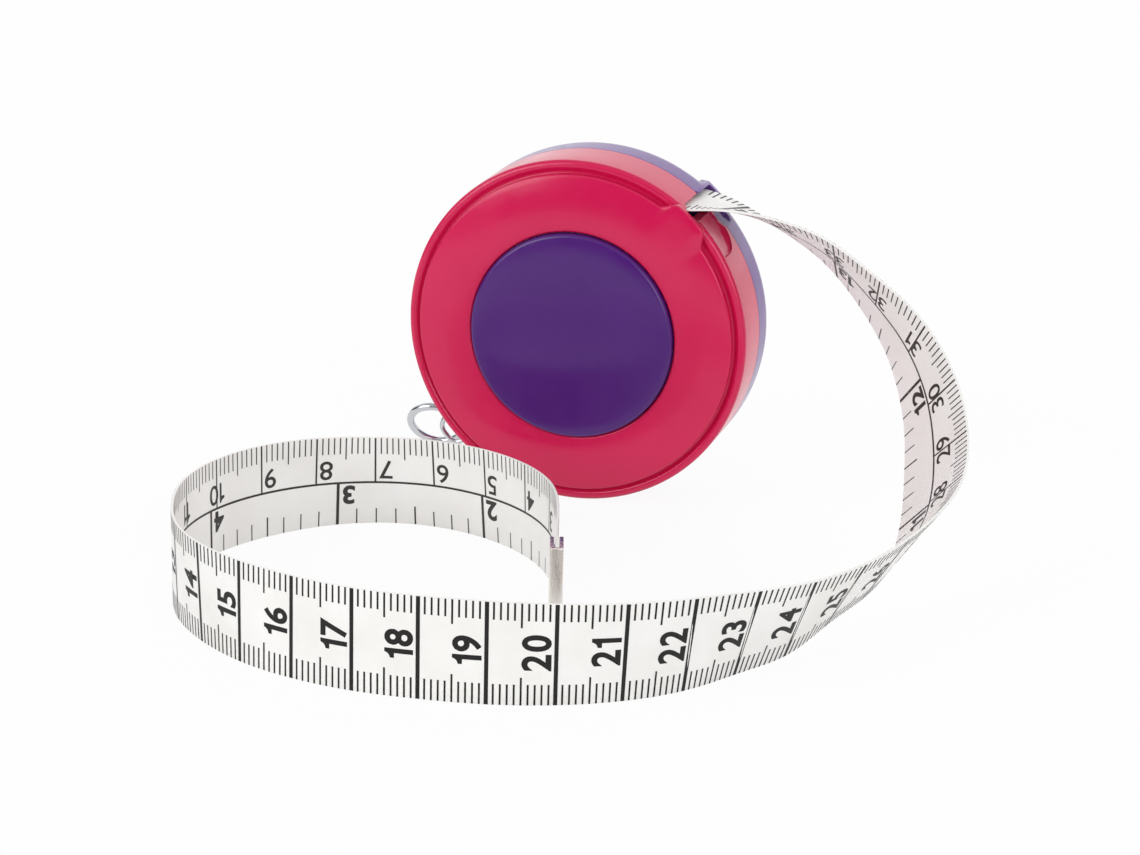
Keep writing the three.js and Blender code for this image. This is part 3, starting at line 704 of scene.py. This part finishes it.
def printInner(way, materials):
    p = innerPrint
    width = tapeSize["width"]
    millimetres = int(way["free"])
    centimetres = millimetres // 10
    inches = int(way["free"] / p["inch"])
    eighth = p["inch"] / 8
    middle, halfThick = p["midLine"], p["midThick"] / 2
    marks = [
        inkBar(printMargin, middle, p["line"], 10, centimetres, 10),
        inkBar(printMargin, p["tickLong"], p["tick"], 1, millimetres, 1),
        inkBar(printMargin, p["halfLong"], p["tick"], 5, centimetres + 1, 10),
        inkBar(middle, width - printMargin, p["inchLine"], p["inch"], inches, p["inch"]),
        inkBar(width - p["inchTick"], width - printMargin, p["tick"], eighth, inches * 8 + 4, eighth),
        inkBar(width - p["inchHalf"], width - printMargin, p["tick"] * p["halfBolder"], p["inch"] / 2,
               inches + 1, p["inch"]),
        inkBar(middle - halfThick, middle + halfThick, 1.0, p["midFrom"] + 0.5, millimetres - p["midFrom"], 1),
    ]
    rows = [
        # how many, their pitch, height, weight, base, gap before the line, and the first one across its line
        (centimetres, 10, p["numberHigh"], p["weight"], p["numberBase"], p["numberGap"], 10),
        (inches, p["inch"], p["inchHigh"], p["inchWeight"], p["inchBase"], p["inchGap"], inches + 1),
    ]
    for total, pitch, high, weight, base, gap, firstAcross in rows:
        for count in range(1, total + 1):
            number = inkNumber(str(count), high, p["numberWide"], weight, p["cuts"], "x")
            across = [v.co.x for v in number.data.vertices]
            spot = pitch * count
            if count < firstAcross:
                spot = pitch * count - gap - (max(across) - min(across)) / mm / 2
            number.data.transform(Matrix.Translation((spot * mm, base * mm, 0)))
            marks.append(number)
    inner = joinPieces("tape_print_inner", marks)
    # turned over to face the other side, with y counting down the cloth
    inner.data.transform(Matrix.Diagonal((1, -1, 1, 1)))
    inner.data.transform(Matrix.Translation((0, 0, -(tapeSize["thick"] / 2 + p["lift"]) * mm)))
    return finishPrint(inner, way, materials["fineInk"])


def finishPrint(piece, way, ink):
    layOnWay(piece, way)
    dress(piece, ink)
    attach(piece, "case")
    return piece


endClip = {
    "long": 5.5,
    "wall": 0.65,
    "halfGap": 0.4,
    "round": 0.5,
    "edge": 0.12,
}


def makeEndClip(way, materials):
    # a strip of plate folded over the tape's end: drawn in (from the tip, off the cloth)
    c = endClip
    outer = c["halfGap"] + c["wall"]
    inner = c["halfGap"]
    r = c["round"]
    side = [(c["long"], outer)] + arcPoints((r, outer - r), (r, r), 90, 180, 5)
    side += arcPoints((r, -outer + r), (r, r), 180, 270, 5) + [(c["long"], -outer), (c["long"], -inner)]
    side += arcPoints((c["wall"] + inner, 0), (inner, inner), 270, 90, 8) + [(c["long"], inner)]
    clip = drawnOutline("folded_end_clip", [(x * mm, 0, z * mm) for x, z in side])
    fillAndRaise((0, -tapeSize["width"] * mm, 0))
    doneEditing()
    roundEdges(clip, c["edge"], 3, 50)
    # the cloth's last 6 mm give the clip its direction
    ahead = Vector(way["place"][0] - way["place"][12]).normalized()
    lean = Vector(way["lean"][0])
    lean = (lean - ahead * lean.dot(ahead)).normalized()
    tip = Vector(way["place"][0]) * mm
    turn = Matrix((-ahead, -lean, ahead.cross(lean))).transposed().to_4x4()
    start = Matrix.Translation((0, tapeSize["width"] / 2 * mm, 0))
    clip.data.transform(Matrix.Translation(tip) @ turn @ start)
    smoothByAngle(clip, 30)
    dress(clip, materials["clip"])
    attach(clip, "case")
    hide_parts("tape_end_clip")
    return clip


caseSize = {
    "discRadius": 27.4,
    "steps": 480,
    "tabTop": (59.2, 53.3),     # degrees over which the disc's edge swings out to the rim
    "tabFoot": (37.2, 43.2),
    "tabReach": 29.57,
    "tabRoot": 21.0,            # the disc is drawn out with the tab from here on
    "tabFull": 26.9,            # and in full from here
}
# profiles of (radius, y) in mm; a round is its centre and its two radii
discShape = {
    "hole": [(17.77, -8.65), (17.77, -10.15)],
    "holeRound": ((18.22, -10.15), (0.45, 0.45)),
    "crownStart": (18.3, -10.6),
    "crownRun": (8.72, 0.93),
    "edgeRound": ((27.0, -9.3), (0.4, 0.38)),
    "under": [(27.4, -7.6), (26.9, -7.6), (26.3, -8.65)],
}
rimShape = {
    "hidden": [(25.2, -8.65), (25.2, -9.2), (27.1, -9.2), (27.2, -8.38)],
    "groove": [(27.45, -8.26), (27.62, -8.22), (27.8, -8.27), (28.0, -8.41), (28.2, -8.57), (28.4, -8.7),
               (28.58, -8.77)],
    "crest": ((28.75, -7.95), (0.85, 0.84)),
    "wall": [(29.6, -4.0), (29.6, 0.0), (29.6, 0.93), (29.55, 0.98), (28.1, 0.98), (28.1, -5.8)],
}


def tabShare(degrees):
    def swing(span):
        t = (degrees - span[0]) / (span[1] - span[0])
        t = min(max(t, 0), 1)
        return t * t * (3 - 2 * t)
    return swing(caseSize["tabTop"]) * swing(caseSize["tabFoot"])


def makeDisc():
    # the crowned disc, from the button's hole over the crown to the crisp edge and back under it
    d = discShape
    (startRadius, startY), (run, fall) = d["crownStart"], d["crownRun"]
    crown = [(startRadius + run * i / 12, startY + fall * (i / 12) ** 2) for i in range(1, 12)]
    profile = d["hole"] + arcPoints(*d["holeRound"], 180, 270, 6)[1:] + crown
    profile += arcPoints(*d["edgeRound"], -78, 0, 6) + d["under"]
    disc = spunPiece("disc", profile, caseSize["steps"])
    root, full = caseSize["tabRoot"], caseSize["tabFull"]
    for vertex in disc.data.vertices:
        x, z = vertex.co.x / mm, vertex.co.z / mm - axisHeight
        radius = math.hypot(x, z)
        pull = min(max((radius - root) / (full - root), 0), 1) ** 2
        share = tabShare(math.degrees(math.atan2(z, x)))
        grown = 1 + pull * share * (caseSize["tabReach"] - caseSize["discRadius"]) / radius
        vertex.co.x = x * grown * mm
        vertex.co.z = (axisHeight + z * grown) * mm
    return disc


def makeRim():
    # the groove beside the disc, the rim and the wall back to the seam
    crest = arcPoints(*rimShape["crest"], -90, 0, 10)
    profile = rimShape["hidden"] + rimShape["groove"] + crest + rimShape["wall"]
    return spunPiece("rim", profile, caseSize["steps"])


mouth = {
    "start": 8.0,
    "reach": 40.0,
    "low": 20.9,
    "high": 23.6,
    "front": -8.65,
    "back": 8.1,
    "tabHigh": 22.98,       # lower behind the tab, so that the groove keeps its floor
    "tabBack": -7.1,
    "tabSlope": 0.4,
    "corner": 0.5,
}
# a rounded hollow in the wall below the mouth, for the fingertip that takes the tape
recess = {
    "middle": 38.5,         # degrees
    "floor": 28.92,
    "outer": 31.6,
    "span": (-3.87, 4.2),   # mm along the wall
    "front": -7.7,
    "back": 0.4,
    "corner": 5.0,
    "fillet": 0.64,
}
scoop = {
    "radius": 4.6,
    "centre": (33.7, 42.3),
    "front": -4.0,
    "back": 6.0,
    "endRound": 2.6,
}
hood = {
    "outline": [(26.5, 44.8), (29.3, 44.5), (29.6, 44.9), (29.64, 49), (29.78, 52.8), (29.74, 53.5),
                (29.1, 55.6), (26.5, 57.5)],    # radius and degrees
    "front": 1.05,
    "back": 9.2,
    "edge": 0.16,
}


def mouthCutter():
    m = mouth
    side = [(m["front"], m["low"]), (m["back"], m["low"]), (m["back"], m["high"]), (m["tabBack"], m["high"]),
            (m["tabBack"] - m["tabSlope"], m["tabHigh"]), (m["front"], m["tabHigh"])]
    cutter = drawnOutline("mouth_cutter", [(m["start"] * mm, y * mm, (axisHeight + z) * mm) for y, z in side])
    fillAndRaise((m["reach"] * mm, 0, 0))
    # the long edges below and at the back are round, those behind the tab sharp
    selectEdges(cutter, lambda a, b: abs(a.x - b.x) > 0.01 and (a.z < 0.051 or a.y > 0))
    bpy.ops.mesh.bevel(offset=m["corner"] * mm, segments=4, affect="EDGES")
    doneEditing()
    return cutter


def recessCutter():
    # drawn flat as (along the wall, y), raised outwards, then turned to its place on the wall
    r = recess
    foot, head = r["span"]
    corner = arcPoints((foot + r["corner"], r["back"] - r["corner"]), (r["corner"], r["corner"]), 180, 90, 14)
    outline = [(head, r["front"]), (foot, r["front"])] + corner + [(head, r["back"])]
    cutter = raisedOutline("recess_cutter", outline, r["floor"], r["outer"])
    roundEdges(cutter, r["fillet"], 5, 40)
    outward, along = outAndAlong(r["middle"])
    turn = Matrix((along, outward, Vector((0, 1, 0)))).transposed().to_4x4()
    cutter.data.transform(Matrix.Translation((0, 0, axisHeight * mm)) @ turn)
    return cutter


def scoopCutter():
    x, z = onRim(*scoop["centre"])
    middle = (scoop["back"] + scoop["front"]) / 2
    clearSelection()
    bpy.ops.mesh.primitive_cylinder_add(vertices=96, radius=scoop["radius"] * mm,
                                        depth=(scoop["back"] - scoop["front"]) * mm,
                                        location=(x * mm, middle * mm, z * mm), rotation=(math.pi / 2, 0, 0))
    cutter = bpy.context.object
    bpy.ops.object.transform_apply(location=True, rotation=True, scale=True)
    editAll(cutter)
    selectEdges(cutter, lambda a, b: min(a.y, b.y) > scoop["back"] * mm - tiny)
    bpy.ops.mesh.bevel(offset=scoop["endRound"] * mm, segments=8, affect="EDGES")
    doneEditing()
    return cutter


def makeFrontShell(materials):
    disc, rim = makeDisc(), makeRim()
    for part in (disc, rim):
        cutAway(part, mouthCutter())
        cutAway(part, recessCutter())
    cutAway(rim, scoopCutter())
    shell = joinPieces("front_case_half", [disc, rim])
    smoothByAngle(shell, 32)
    dress(shell, materials["pink"])
    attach(shell, "case")
    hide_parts("front_shell")


# from the seam over the rounded corner to the flat back and its sunk screw pad, and back inside to the lip
rearShape = {
    "seam": [(29.5, 1.02), (29.6, 1.12), (29.6, 5.3)],
    "corner": (24.5, 5.3),
    "outerRound": (5.1, 5.1),
    "innerRound": (3.6, 3.7),
    "back": [(8.1, 10.4), (7.9, 10.32), (7.5, 9.9), (7.2, 9.8), (1.3, 9.8), (1.3, 9.0), (24.5, 9.0)],
    "lip": [(28.1, 4.1), (26.9, 2.6), (26.9, -0.6), (27.8, -0.6), (27.8, 1.02)],
    "steps": 240,
}


def makeRearShell(materials):
    s = rearShape
    outside = s["seam"] + arcPoints(s["corner"], s["outerRound"], 0, 90, 16)[1:]
    inside = arcPoints(s["corner"], s["innerRound"], 90, 0, 8)[1:] + s["lip"]
    shell = spunPiece("rear_case_half", outside + s["back"] + inside, s["steps"])
    top = raisedOutline("hood", [onRim(r, a) for r, a in hood["outline"]], hood["front"], hood["back"])
    roundEdges(top, hood["edge"], 3, 40)
    cutAway(shell, mouthCutter())
    cutAway(shell, scoopCutter())
    cutAway(top, mouthCutter())
    shell = joinPieces("rear_case_half", [shell, top])
    smoothByAngle(shell, 32)
    dress(shell, materials["purple"])
    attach(shell, "case")
    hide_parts("rear_shell")


button = {
    "radius": 17.66,
    "apex": -12.1,
    "domeSteps": 14,
    "edgeY": -11.55,
    "edgeRound": 0.7,
    "edgeDrop": 0.06,
    "skirtEnd": -10.05,
    "skirtWall": 1.15,
    "chamfer": 0.1,
    "under": -10.55,
    "boss": (2.3, 3.3, -8.35),
    "legAngles": (90, 210, 330),
    "legWide": 3.0,
    # inner wall, hook under the brake plate and outer wall, in (radius, y)
    "leg": [(6.6, -10.8), (6.6, -2.4), (6.9, -2.2), (7.4, -2.2), (7.8, -2.6), (7.8, -4.7), (8.9, -4.7),
            (8.9, -4.9), (8.1, -5.3), (7.8, -5.3), (7.8, -10.8)],
}


def makeButton(materials):
    b = button
    r, edge, steps = b["radius"], b["edgeRound"], b["domeSteps"]
    dome = [(r * i / steps, b["apex"] + (b["edgeY"] - b["apex"]) * (i / steps) ** 2) for i in range(steps - 1)]
    rimArc = arcPoints((r - edge, b["edgeY"] + edge + b["edgeDrop"]), (edge, edge), -84, 0, 7)
    skirt = [(r, b["skirtEnd"] - b["chamfer"]), (r - b["chamfer"], b["skirtEnd"]),
             (r - b["skirtWall"], b["skirtEnd"]), (r - b["skirtWall"], b["under"])]
    bossIn, bossOut, bossEnd = b["boss"]
    under = [(bossOut, b["under"]), (bossOut, bossEnd), (bossIn, bossEnd), (bossIn, b["under"]),
             (0, b["under"])]
    cap = spunPiece("press_button", dome + rimArc + skirt + under, 240, closed=False)
    centre = Matrix.Translation((0, 0, axisHeight * mm))
    legs = []
    for angle in b["legAngles"]:
        foot = axisHeight - b["legWide"] / 2
        leg = drawnOutline("leg", [(x * mm, y * mm, foot * mm) for x, y in b["leg"]])
        fillAndRaise((0, 0, b["legWide"] * mm))
        doneEditing()
        leg.data.transform(centre @ Matrix.Rotation(-math.radians(angle), 4, "Y") @ centre.inverted())
        legs.append(leg)
    cap = joinPieces("press_button", [cap] + legs)
    smoothByAngle(cap, 32)
    dress(cap, materials["button"])
    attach(cap, "button")
    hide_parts("push_button")


coil = {
    "inner": 13.9,
    "outer": 22.2,
    "front": -8.3,
    "back": 7.7,
    "layer": 0.415,
    "ridge": (0.08, 0.12),      # how each layer's edge is rounded, in (radius, y)
}


def makeCoil(materials):
    # the wound tape: every layer's edge stands as its own fine ridge
    layers = int(round((coil["outer"] - coil["inner"]) / coil["layer"]))
    pitch = (coil["outer"] - coil["inner"]) / layers
    inset, drop = coil["ridge"]
    front, back = [], []
    for i in range(layers):
        r = coil["inner"] + i * pitch
        for side, end, way in ((front, coil["front"], drop), (back, coil["back"], -drop)):
            side += [(r, end + way), (r + inset, end), (r + pitch - inset, end)]
    end = coil["outer"]
    profile = front + [(end, coil["front"] + drop), (end, coil["back"] - drop)] + back[::-1]
    wound = spunPiece("wound_cloth_tape", profile, 120)
    layFlatMap(wound, lambda spot: (math.atan2(spot.z - axisHeight * mm, spot.x) * coil["outer"], spot.y / mm))
    smoothByAngle(wound, 40)
    dress(wound, materials["tape"])
    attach(wound, "reel")
    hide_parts("wound_tape")


staple = {"wire": 0.9, "span": 5.0, "crown": 35.2, "root": 28.37, "bend": 2.0, "angle": 223, "y": 0.4}
keyRing = {"radius": 4.7, "wire": 1.35, "pivot": (31.4, 223), "direction": 189, "turn": 34}


def makeStaple(materials):
    s = staple
    half = s["span"] / 2
    bend = s["bend"]
    side = [(s["root"], -half)] + arcPoints((s["crown"] - bend, -half + bend), (bend, bend), -90, 0, 8)
    side += arcPoints((s["crown"] - bend, half - bend), (bend, bend), 0, 90, 8) + [(s["root"], half)]
    out, along = outAndAlong(s["angle"])
    centre = Vector((0, s["y"], axisHeight))
    points = [(centre + out * r + along * t) * mm for r, t in side]
    wire = wirePiece("ring_eye", points, s["wire"] / 2 * mm, 6)
    smoothByAngle(wire, 40)
    dress(wire, materials["chrome"])
    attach(wire, "case")
    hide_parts("ring_staple")


def makeKeyRing(materials):
    k = keyRing
    x, z = onRim(*k["pivot"])
    pivot = Vector((x, staple["y"], z))
    out, along = outAndAlong(k["direction"])
    turn = math.radians(k["turn"])
    across = along * math.cos(turn) + Vector((0, 1, 0)) * math.sin(turn)
    centre = pivot + out * k["radius"]
    points = [(centre + out * math.cos(a) * k["radius"] + across * math.sin(a) * k["radius"]) * mm
              for a in [2 * math.pi * i / 96 for i in range(96)]]
    ring = wirePiece("key_loop", points, k["wire"] / 2 * mm, 8, closed=True)
    smoothByAngle(ring, 40)
    dress(ring, materials["chrome"])
    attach(ring, "ring")
    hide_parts("key_ring")


def dressInnerParts(materials):
    finishes = {
        "spring": ["brake_plate", "button_spring", "axle", "axle_clip", "front_washer", "rear_washer",
                   "mainspring", "tape_anchor_pin"],
        "chrome": ["axle_screw", "mouth_pin"],
        "inner": ["button_guide", "reel_drum", "reel_brake_ring", "spring_cover"],
        "felt": ["brake_felt"],
    }
    for finish, names in finishes.items():
        for name in names:
            dress(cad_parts[name], materials[finish])
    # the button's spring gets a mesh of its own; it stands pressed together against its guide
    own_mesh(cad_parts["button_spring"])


studio = {
    "floorSize": 8.0,
    "floorDrop": 0.00003,
    "frontEnd": -0.47,      # metres: the white sheet ends here, towards the camera
    "endBlend": 0.05,
    "sheet": "#F7F7F7",
    "beyond": "#6A6A6A",
    "seenShare": 0.93,      # how far the sheet is whitened where it is seen, so that it keeps the shadow
    "world": 0.88,
    "room": 0.12,
    "behind": 1.4,          # the tent behind the case is brighter by this share: its wall mirrors it
    "zenith": 0.62,         # the tent is darker overhead, so that surfaces facing up don't burn out
    # where the tent changes, against the direction's own x, y or z
    "frontSpan": (-0.75, -0.25),
    "leftSpan": (-0.95, -0.8),
    "highSpan": (0.35, 0.6),
    "overheadSpan": (0.5, 0.75),
    "behindSpan": (0.5, 0.8),
    "lamps": [
        # name, place, aim, size, power in watts
        ("key_lamp", (-0.85, -1.0, 0.5), (0, 0, 0.02), (0.9, 0.7), 7.2),
        ("fill_lamp", (0.9, -0.95, 0.45), (0, 0, 0.02), (0.8, 0.7), 5.0),
        ("back_lamp", (0.1, 0.9, 1.0), (0, 0, 0.03), (1.2, 0.7), 2.0),
    ],
}


def makeFloor():
    clearSelection()
    bpy.ops.mesh.primitive_plane_add(size=studio["floorSize"], location=(0, 0, -studio["floorDrop"]))
    floor = bpy.context.object
    floor.name = "white_sheet"
    material, tree, shader = newMaterial("white_paper_sheet")
    place = addNode(tree, "TexCoord").outputs["Object"]
    depth = addNode(tree, "SeparateXYZ", {"Vector": place}).outputs["Y"]
    onSheet = remap(tree, depth, (studio["frontEnd"] - studio["endBlend"], studio["frontEnd"]))
    paper = toneRamp(tree, onSheet, (studio["beyond"], studio["sheet"]))
    seenTone = toneRamp(tree, onSheet, (studio["beyond"], "#FFFFFF"))
    tree.links.new(paper, shader.inputs["Base Color"])
    shader.inputs["Roughness"].default_value = 0.9
    path = addNode(tree, "LightPath").outputs
    seen = combine(tree, "MAXIMUM", path["Is Camera Ray"], path["Is Transmission Ray"])
    seen = combine(tree, "MAXIMUM", seen, path["Is Glossy Ray"])
    share = combine(tree, "MULTIPLY", seen, studio["seenShare"])
    glow = addNode(tree, "Emission", {"Color": seenTone, "Strength": 1.0}).outputs["Emission"]
    blend = addNode(tree, "MixShader", {"Fac": share, 1: shader.outputs["BSDF"], 2: glow})
    tree.links.new(blend.outputs["Shader"], tree.nodes["Material Output"].inputs["Surface"])
    dress(floor, material)


def makeLight():
    world = bpy.data.worlds.new("studio")
    scene.world = world
    world.use_nodes = True
    tree = world.node_tree
    place = addNode(tree, "TexCoord").outputs["Generated"]
    parts = addNode(tree, "SeparateXYZ", {"Vector": place}).outputs
    # darker room low in front of the case and at its left; white tent behind, at the right and above
    front = remap(tree, parts["Y"], studio["frontSpan"])
    left = remap(tree, parts["X"], studio["leftSpan"])
    high = remap(tree, parts["Z"], studio["highSpan"])
    tent = combine(tree, "MAXIMUM", combine(tree, "MINIMUM", front, left), high)
    level = remap(tree, tent, (0, 1), (studio["room"], studio["world"]))
    overhead = remap(tree, parts["Z"], studio["overheadSpan"], (studio["world"], studio["zenith"]))
    behind = remap(tree, parts["Y"], studio["behindSpan"], (1, studio["behind"]))
    strength = combine(tree, "MULTIPLY", combine(tree, "MINIMUM", level, overhead), behind)
    background = tree.nodes["Background"]
    background.inputs["Color"].default_value = (1, 1, 1, 1)
    tree.links.new(strength, background.inputs["Strength"])
    for name, place, aim, size, power in studio["lamps"]:
        bpy.ops.object.light_add(type="AREA", location=place)
        lamp = bpy.context.object
        lamp.name = name
        lamp.data.shape = "RECTANGLE"
        lamp.data.size, lamp.data.size_y = size
        lamp.data.energy = power
        lamp.rotation_euler = (Vector(place) - Vector(aim)).to_track_quat("Z", "Y").to_euler()


def buildTape(materials):
    way = makeWay()
    tape = makeTape(way, materials)
    outer = printOuter(way, materials)
    inner = printInner(way, materials)
    clip = makeEndClip(way, materials)
    print("tape laid:", round(way["free"], 1), "mm free")


placeCamera()
materials = makeMaterials()
print("camera and materials ready")
buildTape(materials)
print("tape, printing and metal end ready")
makeFrontShell(materials)
print("front case half ready")
makeRearShell(materials)
print("rear case half ready")
makeButton(materials)
makeCoil(materials)
print("button and coil ready")
makeStaple(materials)
makeKeyRing(materials)
dressInnerParts(materials)
print("ring and inner parts ready")
makeFloor()
makeLight()
print("floor and light ready")
